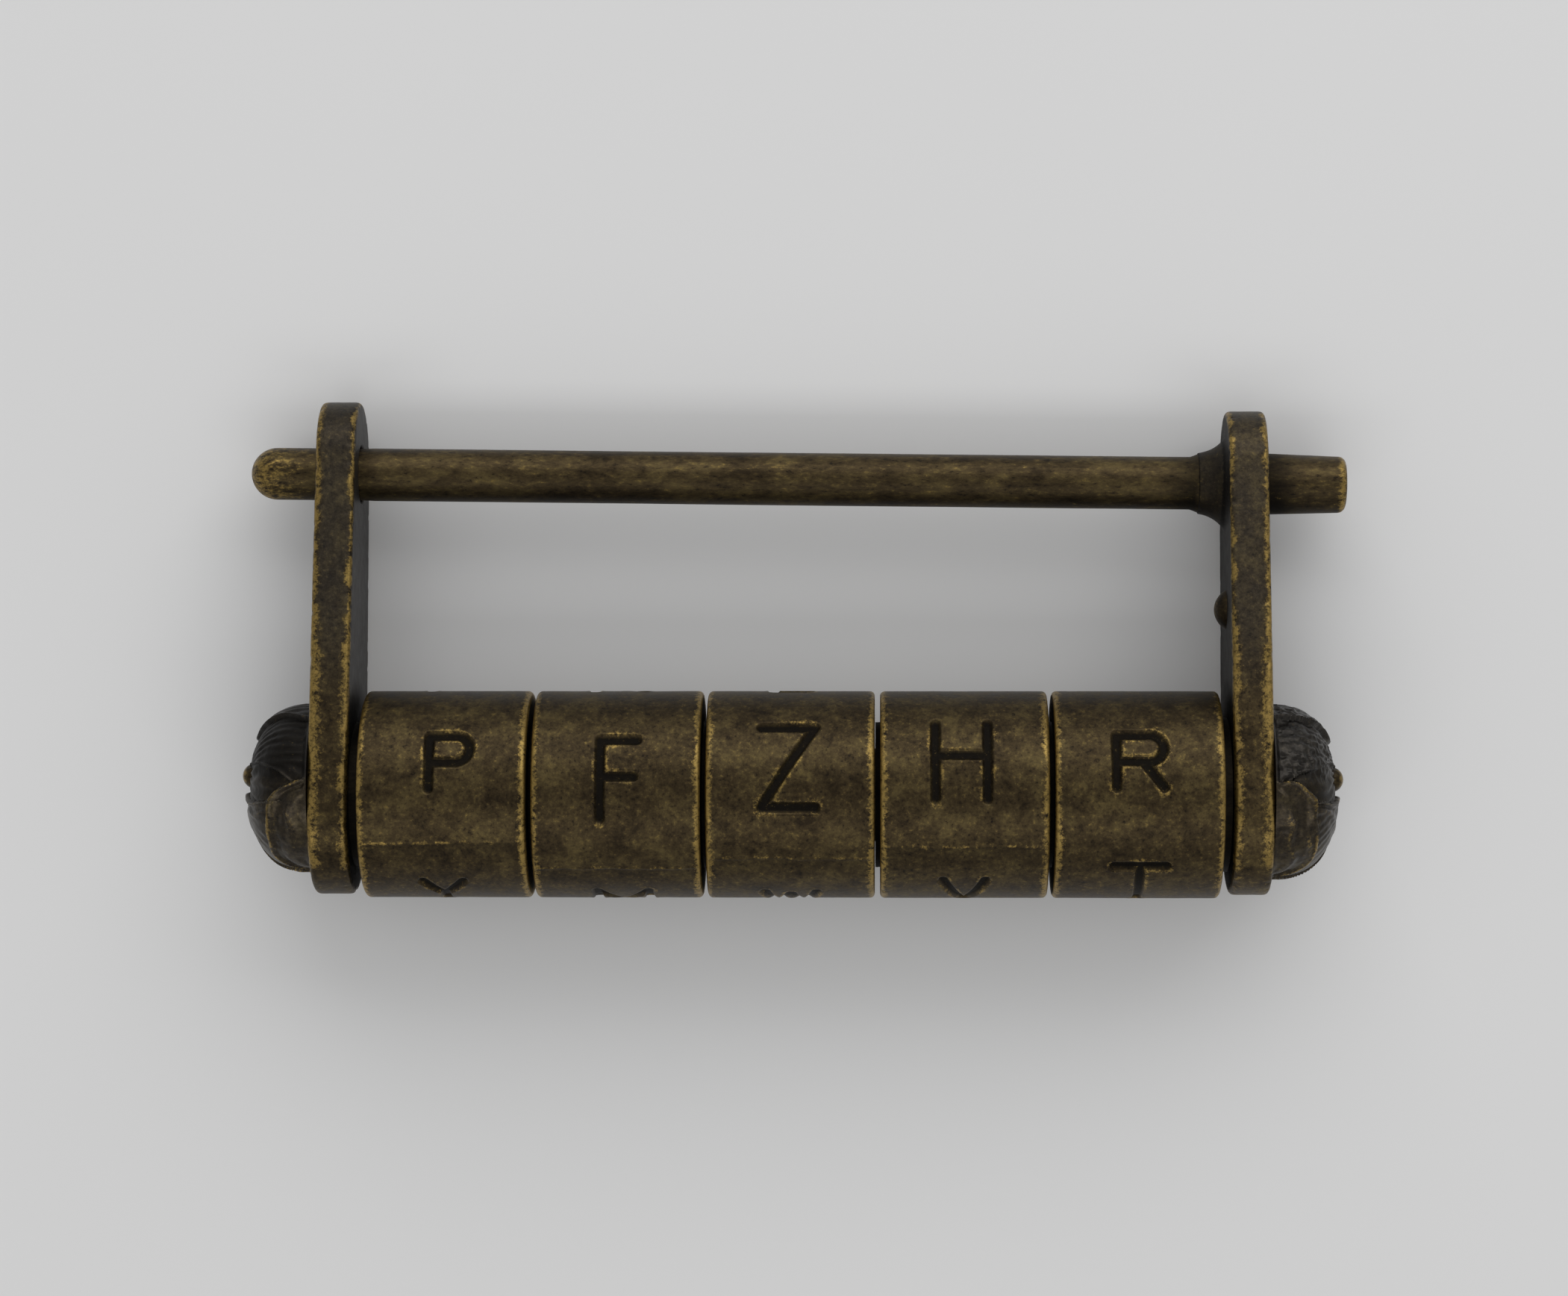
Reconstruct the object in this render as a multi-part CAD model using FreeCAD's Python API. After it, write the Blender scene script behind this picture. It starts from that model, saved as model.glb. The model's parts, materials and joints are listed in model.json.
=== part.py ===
import FreeCAD, Part
import math
import os

# Five-ring letter padlock in cast antique bronze, lying flat on its rings and on the bar end of its plates.
# It is designed in lock axes. X runs along the ring axis, from the fixed plate to the shackle plate.
# Y runs from the ring axis towards the shackle bar. Z points out of the face that shows the open code.
# lay_down() tips the finished pieces on to the surface they rest on and centres them over the origin.
# Lengths are in millimetres and angles in degrees.

V = FreeCAD.Vector
X_AXIS = V(1, 0, 0)
Z_AXIS = V(0, 0, 1)

# Rings
RING_COUNT = 5
RING_RADIUS = 8.9
RING_WIDTH = 14.25
RING_GAP = 0.45
RING_EDGE_ROUND = 0.35
RING_WEB = 5.0
HOLLOW_RADIUS = 6.3

# Letters of each ring: (character, angle of its middle from +Z towards +Y, height, shift along X)
LETTER_TALL = 7.5
LETTER_SHORT = 5.4
LETTER_DEPTH = 0.45
LETTER_STROKE = 0.72
TALL, SHORT = LETTER_TALL, LETTER_SHORT
RING_LETTERS = (
    (("P", 13.2, SHORT, 0.7), ("Y", -76.8, SHORT, -0.1), ("E", -166.8, TALL, 0), ("F", 103.2, TALL, 0)),
    (("F", 3.7, TALL, 0.25), ("M", -88.0, SHORT, 0.4), ("L", -176.3, SHORT, 0), ("K", 93.7, SHORT, 0)),
    (("Z", 10.9, TALL + 0.3, -0.15), ("W", -89.0, SHORT, 0), ("A", -170.0, SHORT, 0), ("L", 100.0, TALL, 0)),
    (("H", 14.8, TALL, -0.28), ("V", -75.2, SHORT, 0), ("X", -165.2, TALL, 0), ("E", 107.0, SHORT, 0)),
    (("R", 14.0, SHORT, 0), ("T", -70.6, TALL, 0.1), ("I", -166.0, TALL, 0), ("N", 107.0, SHORT, 0)),
)

# Plates: tapered links, round at both ends
PLATE_THICKNESS = 3.45
PLATE_EDGE_ROUND = 0.45
PLATE_FOOT_RADIUS = 7.2
PLATE_FOOT_Y = -1.4
PLATE_HEAD_RADIUS = 5.3
LEFT_HEAD_Y = 28.9
RIGHT_HEAD_Y = 28.0
GAP_AT_LEFT_PLATE = 0.95
GAP_AT_RIGHT_PLATE = 0.85

# Shackle bar, which slopes a little down towards the shackle plate
BAR_RADIUS = 2.3
BAR_Y_AT_LEFT = 27.9
BAR_Y_AT_RIGHT = 27.0
BAR_HOLE_CLEARANCE = 0.2
BAR_NOSE_PROUD = 6.2
BAR_NOSE_RADIUS = 2.27
BAR_SEAT_RADIUS = 2.5
BAR_TAPER_LENGTH = 0.6
BAR_NOSE_INSIDE = 0.4
BAR_HEAD_LENGTH = 7.0
BAR_HEAD_RADIUS = 2.65
BAR_HEAD_END_RADIUS = 2.45
BAR_HEAD_ROUND = 0.6
FLARE_LENGTH = 2.4
FLARE_FOOT_RADIUS = 4.0
FLARE_LIP_RADIUS = 2.65
FLARE_HOLLOW_SHARE = 0.4

# Knobs: full domes, a little nearer the bar than the ring axis, each with a small bud near its tip
LEFT_KNOB_RADIUS = 7.35
LEFT_KNOB_HEIGHT = 6.5
LEFT_KNOB_Y = 0.5
RIGHT_KNOB_RADIUS = 7.6
RIGHT_KNOB_HEIGHT = 6.5
RIGHT_KNOB_Y = 0.25
DOME_POWER = 2.4
DOME_STEPS = 12
BUD_RADIUS = 1.1
BUD_OFFSET = 1.05
BUD_PROUD = 0.3

# Slotted tube that the rings turn on, and the washers on it
TUBE_RADIUS = 4.0
TUBE_BORE_RADIUS = 2.9
TUBE_END_WALL = 3.6
RUNNING_CLEARANCE = 0.06
SLOT_WIDTH = 2.2
SLOT_START = 5.0
GATE_WIDTH = 2.6
GATE_RADIUS = 6.0
WASHER_RADIUS = HOLLOW_RADIUS - RUNNING_CLEARANCE
WASHER_INSIDE_RING = 0.9
WASHER_PLAY = 0.05
END_COLLAR_RADIUS = 6.6
END_COLLAR_THICKNESS = 0.7

# Key rod with one tooth for each ring
ROD_RADIUS = TUBE_BORE_RADIUS - RUNNING_CLEARANCE
ROD_TIP_GAP = 1.6
ROD_TIP_CHAMFER = 0.5
ROD_SPIGOT_RADIUS = 2.2
TOOTH_WIDTH = 1.8
TOOTH_LENGTH = 3.5
TOOTH_RADIUS = 5.6
TOOTH_GAP_TO_WEB = 0.3

# Pins that hold the knobs, and the rivet in the shackle plate
KNOB_PIN_RADIUS = 1.2
KNOB_PIN_DEPTH = 3.5
KNOB_PIN_HEAD_RADIUS = 2.2
KNOB_PIN_HEAD = 0.8
RIVET_Y = 16.0
RIVET_SHANK_RADIUS = 0.9
RIVET_HEAD_RADIUS = 1.7
RIVET_HEAD_HEIGHT = 1.0

# How far a cutter reaches past the faces that it opens
OVER = 1.0

# Places along X, with the whole length centred on the origin
STACK_LENGTH = RING_COUNT * RING_WIDTH + (RING_COUNT - 1) * RING_GAP
PLATE_SPACING = GAP_AT_LEFT_PLATE + STACK_LENGTH + GAP_AT_RIGHT_PLATE
LEFT_REACH = PLATE_THICKNESS + LEFT_KNOB_HEIGHT
RIGHT_REACH = PLATE_THICKNESS + BAR_HEAD_LENGTH
LEFT_INNER_X = -(PLATE_SPACING + LEFT_REACH + RIGHT_REACH) / 2 + LEFT_REACH
LEFT_OUTER_X = LEFT_INNER_X - PLATE_THICKNESS
RIGHT_INNER_X = LEFT_INNER_X + PLATE_SPACING
RIGHT_OUTER_X = RIGHT_INNER_X + PLATE_THICKNESS
FIRST_RING_X = LEFT_INNER_X + GAP_AT_LEFT_PLATE
RING_PITCH = RING_WIDTH + RING_GAP
TUBE_END_X = FIRST_RING_X + STACK_LENGTH + WASHER_PLAY + END_COLLAR_THICKNESS

# Resting on the surface: the rings touch it, and so does the bar end of the fixed plate
TILT = math.degrees(math.asin((RING_RADIUS - PLATE_HEAD_RADIUS) / LEFT_HEAD_Y))
REAR_Y = LEFT_HEAD_Y * math.cos(math.radians(TILT)) + PLATE_HEAD_RADIUS
RING_AXIS_Y = (RING_RADIUS - REAR_Y) / 2
RING_AXIS_Z = RING_RADIUS

# Letter strokes in a cell one unit wide and one unit high. Two points are a straight stroke, three an arc.
BOWL = (((-0.5, 0.5), (0.1, 0.5)), ((0.1, 0.5), (0.5, 0.24), (0.1, -0.02)), ((0.1, -0.02), (-0.5, -0.02)))
LEFT_STEM = ((-0.5, -0.5), (-0.5, 0.5))
RIGHT_STEM = ((0.5, -0.5), (0.5, 0.5))
TOP_BAR = ((-0.5, 0.5), (0.5, 0.5))
LETTER_STROKES = {
    "A": (((-0.5, -0.5), (0, 0.5)), ((0, 0.5), (0.5, -0.5)), ((-0.3, -0.1), (0.3, -0.1))),
    "E": (LEFT_STEM, TOP_BAR, ((-0.5, 0), (0.35, 0)), ((-0.5, -0.5), (0.5, -0.5))),
    "F": (LEFT_STEM, TOP_BAR, ((-0.5, 0.02), (0.42, 0.02))),
    "H": (LEFT_STEM, RIGHT_STEM, ((-0.5, 0.05), (0.5, 0.05))),
    "I": (((0, -0.5), (0, 0.5)),),
    "K": (LEFT_STEM, ((-0.5, -0.05), (0.5, 0.5)), ((-0.2, 0.12), (0.5, -0.5))),
    "L": (LEFT_STEM, ((-0.5, -0.5), (0.5, -0.5))),
    "M": (LEFT_STEM, RIGHT_STEM, ((-0.5, 0.5), (0, -0.2)), ((0, -0.2), (0.5, 0.5))),
    "N": (LEFT_STEM, RIGHT_STEM, ((-0.5, 0.5), (0.5, -0.5))),
    "P": (LEFT_STEM,) + BOWL,
    "R": (LEFT_STEM,) + BOWL + (((0.05, -0.02), (0.5, -0.5)),),
    "T": (TOP_BAR, ((0, -0.5), (0, 0.5))),
    "V": (((-0.5, 0.5), (0, -0.5)), ((0, -0.5), (0.5, 0.5))),
    "W": (
        ((-0.5, 0.5), (-0.25, -0.5)),
        ((-0.25, -0.5), (0, 0.4)),
        ((0, 0.4), (0.25, -0.5)),
        ((0.25, -0.5), (0.5, 0.5)),
    ),
    "X": (((-0.5, 0.5), (0.5, -0.5)), ((-0.5, -0.5), (0.5, 0.5))),
    "Y": (((-0.5, 0.5), (0, 0)), ((0, 0), (0.5, 0.5)), ((0, -0.5), (0, 0))),
    "Z": (TOP_BAR, ((0.5, 0.5), (-0.5, -0.5)), ((-0.5, -0.5), (0.5, -0.5))),
}
LETTER_WIDTHS = {"E": 3.8, "F": 3.8, "L": 3.8, "P": 4.15, "R": 4.7, "V": 4.3, "Y": 4.1, "Z": 5.25}
USUAL_LETTER_WIDTH = 5.1


def disc(radius, start_x, end_x, y=0.0):
    """A cylinder along X between two places."""
    return Part.makeCylinder(radius, end_x - start_x, V(start_x, y, 0), X_AXIS)


def turned(points):
    """A solid of revolution about X. Its outline is a list of (x, radius) or ("arc", middle, end) steps."""
    edges = []
    here = points[0]
    for step in points[1:]:
        if step[0] == "arc":
            middle, there = step[1], step[2]
            edges.append(Part.Arc(V(*here, 0), V(*middle, 0), V(*there, 0)).toShape())
        else:
            there = step
            edges.append(Part.LineSegment(V(*here, 0), V(*there, 0)).toShape())
        here = there
    edges.append(Part.LineSegment(V(*here, 0), V(*points[0], 0)).toShape())
    return Part.Face(Part.Wire(edges)).revolve(V(0, 0, 0), X_AXIS, 360)


def gate(start_x, end_x, width, radius):
    """A box from the axis towards +Y, as a slot, a gate or a tooth."""
    return Part.makeBox(end_x - start_x, radius, width, V(start_x, 0, -width / 2))


def along_bar(shape):
    """Tips a shape made along X at the bar's place in the shackle plate on to the bar's own slope."""
    slope = math.degrees(math.atan2(BAR_Y_AT_RIGHT - BAR_Y_AT_LEFT, PLATE_SPACING + PLATE_THICKNESS))
    tipped = shape.copy()
    tipped.rotate(V(RIGHT_INNER_X + PLATE_THICKNESS / 2, BAR_Y_AT_RIGHT, 0), Z_AXIS, slope)
    return tipped


def at_bar(shape):
    """Moves a shape made about the X axis on to the bar's line."""
    moved = shape.copy()
    moved.translate(V(0, BAR_Y_AT_RIGHT, 0))
    return along_bar(moved)


def lay_down(shape):
    """Tips the lock on to its resting surface and centres it over the origin."""
    laid = shape.copy()
    laid.rotate(V(0, 0, 0), X_AXIS, -TILT)
    laid.translate(V(0, RING_AXIS_Y, RING_AXIS_Z))
    return laid


def stroke_face(points):
    """The outline of one stroke: a line or an arc with parallel sides and round ends."""
    start, end = points[0], points[-1]
    straight = len(points) == 2
    if straight:
        middle = (start + end) / 2
        across = (end - start).cross(Z_AXIS).normalize()
        sides = [across, across, across]
    else:
        middle = points[1]
        centre = Part.Circle(start, middle, end).Center
        sides = [(point - centre).normalize() for point in (start, middle, end)]
    half = LETTER_STROKE / 2
    near = [point + side * half for point, side in zip((start, middle, end), sides)]
    far = [point - side * half for point, side in zip((start, middle, end), sides)]

    def side_edge(first, second, third):
        if straight:
            return Part.LineSegment(first, third).toShape()
        return Part.Arc(first, second, third).toShape()

    def cap_point(point, side):
        outward = side.cross(Z_AXIS)
        sign = 1 if outward.dot(point - middle) > 0 else -1
        return point + outward * (sign * half)

    outline = [
        side_edge(*near),
        Part.Arc(near[2], cap_point(end, sides[2]), far[2]).toShape(),
        side_edge(*reversed(far)),
        Part.Arc(far[0], cap_point(start, sides[0]), near[0]).toShape(),
    ]
    return Part.Face(Part.Wire(outline))


def letter_tool(character, height):
    """The cutter for one letter at the top of a ring, with strokes of one depth below the ring's face."""
    width = LETTER_WIDTHS.get(character, USUAL_LETTER_WIDTH) - LETTER_STROKE
    rise = height - LETTER_STROKE
    strokes = []
    for points in LETTER_STROKES[character]:
        placed = [V(x * width, y * rise, 0) for x, y in points]
        strokes.append(stroke_face(placed).extrude(Z_AXIS * (RING_RADIUS + OVER)))
    prism = strokes[0].multiFuse(strokes[1:]) if len(strokes) > 1 else strokes[0]
    shell = disc(RING_RADIUS + OVER, -RING_WIDTH / 2, RING_WIDTH / 2)
    shell = shell.cut(disc(RING_RADIUS - LETTER_DEPTH, -RING_WIDTH / 2, RING_WIDTH / 2))
    return prism.common(shell)


def letter_ring(index):
    """One ring: a web with a gate at its right end, a hollow to its left, and four engraved letters."""
    start = FIRST_RING_X + index * RING_PITCH
    end = start + RING_WIDTH
    body = disc(RING_RADIUS, start, end)
    body = body.makeFillet(RING_EDGE_ROUND, [edge for edge in body.Edges if edge.Closed])
    body = body.cut(disc(HOLLOW_RADIUS, start - OVER, end - RING_WEB))
    body = body.cut(disc(TUBE_RADIUS + RUNNING_CLEARANCE, start, end + OVER))
    body = body.cut(gate(end - RING_WEB - OVER, end + OVER, GATE_WIDTH, GATE_RADIUS))
    for character, angle, height, shift in RING_LETTERS[index]:
        tool = letter_tool(character, height)
        tool.rotate(V(0, 0, 0), X_AXIS, -angle)
        tool.translate(V((start + end) / 2 + shift, 0, 0))
        body = body.cut(tool)
    return body


def plate_blank(start_x, head_y):
    """A tapered link with round ends and softened edges, between the foot and head circles."""
    reach = head_y - PLATE_FOOT_Y
    lean = math.asin((PLATE_FOOT_RADIUS - PLATE_HEAD_RADIUS) / reach)

    def rim(centre_y, radius, angle):
        return V(start_x, centre_y + radius * math.sin(angle), radius * math.cos(angle))

    foot_front = rim(PLATE_FOOT_Y, PLATE_FOOT_RADIUS, lean)
    head_front = rim(head_y, PLATE_HEAD_RADIUS, lean)
    foot_back = V(foot_front.x, foot_front.y, -foot_front.z)
    head_back = V(head_front.x, head_front.y, -head_front.z)
    foot_tip = V(start_x, PLATE_FOOT_Y - PLATE_FOOT_RADIUS, 0)
    head_tip = V(start_x, head_y + PLATE_HEAD_RADIUS, 0)
    outline = Part.Wire(
        [
            Part.LineSegment(foot_front, head_front).toShape(),
            Part.Arc(head_front, head_tip, head_back).toShape(),
            Part.LineSegment(head_back, foot_back).toShape(),
            Part.Arc(foot_back, foot_tip, foot_front).toShape(),
        ]
    )
    blank = Part.Face(outline).extrude(X_AXIS * PLATE_THICKNESS)
    face_edges = [edge for edge in blank.Edges if edge.BoundBox.XLength < PLATE_THICKNESS / 2]
    return blank.makeFillet(PLATE_EDGE_ROUND, face_edges)


def left_plate():
    plate = plate_blank(LEFT_OUTER_X, LEFT_HEAD_Y)
    plate = plate.cut(disc(TUBE_RADIUS, LEFT_OUTER_X - OVER, LEFT_INNER_X + OVER))
    bar_hole = disc(BAR_RADIUS + BAR_HOLE_CLEARANCE, LEFT_OUTER_X - OVER, LEFT_INNER_X + OVER)
    return plate.cut(at_bar(bar_hole))


def right_plate():
    """The shackle plate, with the cast flare that the bar stands in."""
    plate = plate_blank(RIGHT_INNER_X, RIGHT_HEAD_Y)
    lip = (RIGHT_INNER_X - FLARE_LENGTH, FLARE_LIP_RADIUS)
    foot = (RIGHT_INNER_X + PLATE_THICKNESS / 2, FLARE_FOOT_RADIUS)
    knee = (RIGHT_INNER_X, FLARE_FOOT_RADIUS)
    hollow_radius = (FLARE_FOOT_RADIUS + 2 * FLARE_LIP_RADIUS) / 3
    hollow = (RIGHT_INNER_X - FLARE_HOLLOW_SHARE * FLARE_LENGTH, hollow_radius)
    flare = turned([(lip[0], 0), lip, ("arc", hollow, knee), foot, (foot[0], 0)])
    plate = plate.fuse(at_bar(flare))
    seat = disc(BAR_SEAT_RADIUS, RIGHT_INNER_X - FLARE_LENGTH - OVER, RIGHT_OUTER_X + OVER)
    plate = plate.cut(at_bar(seat))
    plate = plate.cut(disc(ROD_SPIGOT_RADIUS, RIGHT_INNER_X - OVER, RIGHT_OUTER_X + OVER))
    return plate.cut(disc(RIVET_SHANK_RADIUS, RIGHT_INNER_X - OVER, RIGHT_OUTER_X + OVER, RIVET_Y))


def plate_rivet():
    """A small rivet in the shackle plate, with its head domed like a ball's cap on the inner face."""
    ball_radius = (RIVET_HEAD_RADIUS ** 2 + RIVET_HEAD_HEIGHT ** 2) / (2 * RIVET_HEAD_HEIGHT)
    half_way = math.asin(RIVET_HEAD_RADIUS / ball_radius) / 2
    head_x = RIGHT_INNER_X - RIVET_HEAD_HEIGHT
    crown = (head_x + ball_radius * (1 - math.cos(half_way)), ball_radius * math.sin(half_way))
    dome = ("arc", crown, (RIGHT_INNER_X, RIVET_HEAD_RADIUS))
    shank = [(RIGHT_INNER_X, RIVET_SHANK_RADIUS), (RIGHT_OUTER_X, RIVET_SHANK_RADIUS), (RIGHT_OUTER_X, 0)]
    rivet = turned([(head_x, 0), dome] + shank)
    rivet.translate(V(0, RIVET_Y, 0))
    return rivet


def shackle_bar():
    """The bar: a bullet nose, a plain shank, a seat in the shackle plate and a tapered head beyond it."""
    nose_x = LEFT_OUTER_X - BAR_NOSE_PROUD
    nose_back = nose_x + BAR_NOSE_RADIUS
    bulge = BAR_NOSE_RADIUS * math.sqrt(0.5)
    nose_arc = ("arc", (nose_back - bulge, bulge), (nose_back, BAR_NOSE_RADIUS))
    shank_start = LEFT_INNER_X + BAR_NOSE_INSIDE + BAR_TAPER_LENGTH
    seat_start = RIGHT_INNER_X - FLARE_LENGTH
    shank = [
        (shank_start - BAR_TAPER_LENGTH, BAR_NOSE_RADIUS),
        (shank_start, BAR_RADIUS),
        (seat_start - BAR_TAPER_LENGTH, BAR_RADIUS),
        (seat_start, BAR_SEAT_RADIUS),
        (RIGHT_OUTER_X, BAR_SEAT_RADIUS),
    ]
    end_x = RIGHT_OUTER_X + BAR_HEAD_LENGTH
    turn = BAR_HEAD_ROUND * (1 - math.sqrt(0.5))
    end_edge = (end_x, BAR_HEAD_END_RADIUS - BAR_HEAD_ROUND)
    end_arc = ("arc", (end_x - turn, BAR_HEAD_END_RADIUS - turn), end_edge)
    head = [(RIGHT_OUTER_X, BAR_HEAD_RADIUS), (end_x - BAR_HEAD_ROUND, BAR_HEAD_END_RADIUS)]
    return at_bar(turned([(nose_x, 0), nose_arc] + shank + head + [end_arc, (end_x, 0)]))


def knob(face_x, outward, radius, height, centre_y):
    """A full dome on a plate's outer face, with its bud and the blind hole for its pin."""
    dome_height = height - BUD_PROUD
    quarter = [math.radians(90 * step / DOME_STEPS) for step in range(DOME_STEPS + 1)]
    power = 2 / DOME_POWER
    side = [V(dome_height * math.sin(a) ** power, radius * abs(math.cos(a)) ** power, 0) for a in quarter]
    curve = Part.BSplineCurve()
    curve.interpolate(side)
    axis_line = Part.LineSegment(side[-1], V(0, 0, 0)).toShape()
    base_line = Part.LineSegment(V(0, 0, 0), side[0]).toShape()
    outline = Part.Wire([curve.toShape(), axis_line, base_line])
    dome = Part.Face(outline).revolve(V(0, 0, 0), X_AXIS, 360)
    dome = dome.fuse(Part.makeSphere(BUD_RADIUS, V(height - BUD_RADIUS, BUD_OFFSET, 0)))
    dome.translate(V(0, centre_y, 0))
    dome = dome.cut(disc(KNOB_PIN_RADIUS, -OVER, KNOB_PIN_DEPTH))
    if outward < 0:
        dome = dome.mirror(V(0, 0, 0), X_AXIS)
    dome.translate(V(face_x, 0, 0))
    return dome


def left_knob_pin():
    """Holds the fixed knob, with its peened head inside the tube."""
    wall_x = LEFT_OUTER_X + TUBE_END_WALL
    pin = disc(KNOB_PIN_RADIUS, LEFT_OUTER_X - KNOB_PIN_DEPTH, wall_x)
    return pin.fuse(disc(KNOB_PIN_HEAD_RADIUS, wall_x, wall_x + KNOB_PIN_HEAD))


def right_knob_pin():
    """Joins the shackle knob to the end of the key rod."""
    return disc(KNOB_PIN_RADIUS, RIGHT_INNER_X, RIGHT_OUTER_X + KNOB_PIN_DEPTH)


def slotted_tube():
    """The tube that the rings turn on: closed at the fixed plate, open and slotted at the other end."""
    tube = disc(TUBE_RADIUS, LEFT_OUTER_X, TUBE_END_X)
    tube = tube.cut(disc(TUBE_BORE_RADIUS, LEFT_OUTER_X + TUBE_END_WALL, TUBE_END_X + OVER))
    tube = tube.cut(disc(KNOB_PIN_RADIUS, LEFT_OUTER_X - OVER, LEFT_OUTER_X + TUBE_END_WALL + OVER))
    return tube.cut(gate(LEFT_INNER_X + SLOT_START, TUBE_END_X + OVER, SLOT_WIDTH, TUBE_RADIUS + OVER))


def thrust_collar():
    """Keeps the first ring off the fixed plate and steadies its open end."""
    end = FIRST_RING_X + WASHER_INSIDE_RING
    return disc(WASHER_RADIUS, LEFT_INNER_X, end).cut(disc(TUBE_RADIUS, LEFT_INNER_X - OVER, end + OVER))


def ring_spacer(index):
    """An open washer between two rings, with its opening over the tube's slot."""
    end = FIRST_RING_X + index * RING_PITCH + WASHER_INSIDE_RING
    start = end - WASHER_INSIDE_RING - RING_GAP + WASHER_PLAY
    washer = disc(WASHER_RADIUS, start, end).cut(disc(TUBE_RADIUS, start - OVER, end + OVER))
    return washer.cut(gate(start - OVER, end + OVER, GATE_WIDTH, WASHER_RADIUS + OVER))


def end_collar():
    """Holds the rings on the tube, with a gate that lets the key rod's teeth out."""
    start = TUBE_END_X - END_COLLAR_THICKNESS
    collar = disc(END_COLLAR_RADIUS, start, TUBE_END_X)
    collar = collar.cut(disc(TUBE_RADIUS, start - OVER, TUBE_END_X + OVER))
    return collar.cut(gate(start - OVER, TUBE_END_X + OVER, GATE_WIDTH, GATE_RADIUS))


def key_rod():
    """The rod that slides in the tube, with one tooth held behind the web of each ring."""
    tip_x = LEFT_OUTER_X + TUBE_END_WALL + KNOB_PIN_HEAD + ROD_TIP_GAP
    tip = [(tip_x, 0), (tip_x, ROD_RADIUS - ROD_TIP_CHAMFER), (tip_x + ROD_TIP_CHAMFER, ROD_RADIUS)]
    shoulder = [(RIGHT_INNER_X, ROD_RADIUS), (RIGHT_INNER_X, ROD_SPIGOT_RADIUS)]
    spigot = [(RIGHT_OUTER_X, ROD_SPIGOT_RADIUS), (RIGHT_OUTER_X, 0)]
    rod = turned(tip + shoulder + spigot)
    teeth = []
    for index in range(RING_COUNT):
        web_x = FIRST_RING_X + index * RING_PITCH + RING_WIDTH - RING_WEB
        end = web_x - TOOTH_GAP_TO_WEB
        teeth.append(gate(end - TOOTH_LENGTH, end, TOOTH_WIDTH, TOOTH_RADIUS))
    return rod.multiFuse(teeth).cut(right_knob_pin())


pieces = {
    "left_plate": left_plate(),
    "left_knob": knob(LEFT_OUTER_X, -1, LEFT_KNOB_RADIUS, LEFT_KNOB_HEIGHT, LEFT_KNOB_Y),
    "left_knob_pin": left_knob_pin(),
    "slotted_tube": slotted_tube(),
    "thrust_collar": thrust_collar(),
    "end_collar": end_collar(),
    "right_plate": right_plate(),
    "plate_rivet": plate_rivet(),
    "shackle_bar": shackle_bar(),
    "right_knob": knob(RIGHT_OUTER_X, 1, RIGHT_KNOB_RADIUS, RIGHT_KNOB_HEIGHT, RIGHT_KNOB_Y),
    "right_knob_pin": right_knob_pin(),
    "key_rod": key_rod(),
}
for ring in range(RING_COUNT):
    pieces["letter_ring_%d" % (ring + 1)] = letter_ring(ring)
for gap in range(1, RING_COUNT):
    pieces["ring_spacer_%d" % gap] = ring_spacer(gap)

os.makedirs("parts", exist_ok=True)
for name, piece in pieces.items():
    laid = lay_down(piece)
    laid.exportStep(os.path.join("parts", name + ".step"))
    box = laid.optimalBoundingBox()
    corners = (box.XMin, box.XMax, box.YMin, box.YMax, box.ZMin, box.ZMax)
    print("%-16s %d %s %9.2f" % (name, len(laid.Solids), laid.isValid(), laid.Volume))
    print("    x %.2f %.2f  y %.2f %.2f  z %.2f %.2f" % corners)
print("tilt %.3f, ring axis at y %.3f z %.3f" % (TILT, RING_AXIS_Y, RING_AXIS_Z))
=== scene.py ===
import json
import math

import bmesh
import bpy
import numpy as np
from mathutils import Matrix, Vector


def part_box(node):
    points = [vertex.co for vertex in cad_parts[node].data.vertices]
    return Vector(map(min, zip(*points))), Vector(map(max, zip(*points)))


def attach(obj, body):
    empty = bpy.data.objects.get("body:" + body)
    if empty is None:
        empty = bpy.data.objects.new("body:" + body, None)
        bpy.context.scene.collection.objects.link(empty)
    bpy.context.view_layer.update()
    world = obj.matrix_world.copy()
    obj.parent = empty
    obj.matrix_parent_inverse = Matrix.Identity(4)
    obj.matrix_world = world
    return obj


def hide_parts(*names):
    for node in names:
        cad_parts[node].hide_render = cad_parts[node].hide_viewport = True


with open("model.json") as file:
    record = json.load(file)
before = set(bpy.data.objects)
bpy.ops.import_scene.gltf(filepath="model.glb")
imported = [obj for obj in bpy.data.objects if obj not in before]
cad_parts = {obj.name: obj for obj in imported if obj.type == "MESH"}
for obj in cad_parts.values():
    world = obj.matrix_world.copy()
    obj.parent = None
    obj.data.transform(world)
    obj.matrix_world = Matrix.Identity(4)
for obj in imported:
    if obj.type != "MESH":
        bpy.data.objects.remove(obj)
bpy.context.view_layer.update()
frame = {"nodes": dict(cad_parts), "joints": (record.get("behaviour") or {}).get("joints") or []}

# Looks of a five-ring letter padlock in cast antique bronze.
# Shapes are worked out in millimetres in the lock's own axes: X along the ring axis, Y towards the
# shackle bar and Z out of the lettered face. to_frame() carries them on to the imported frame, in metres.

MM = 0.001
NODES = frame["nodes"]
JOINTS = {joint["name"]: joint for joint in frame["joints"]}

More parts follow.
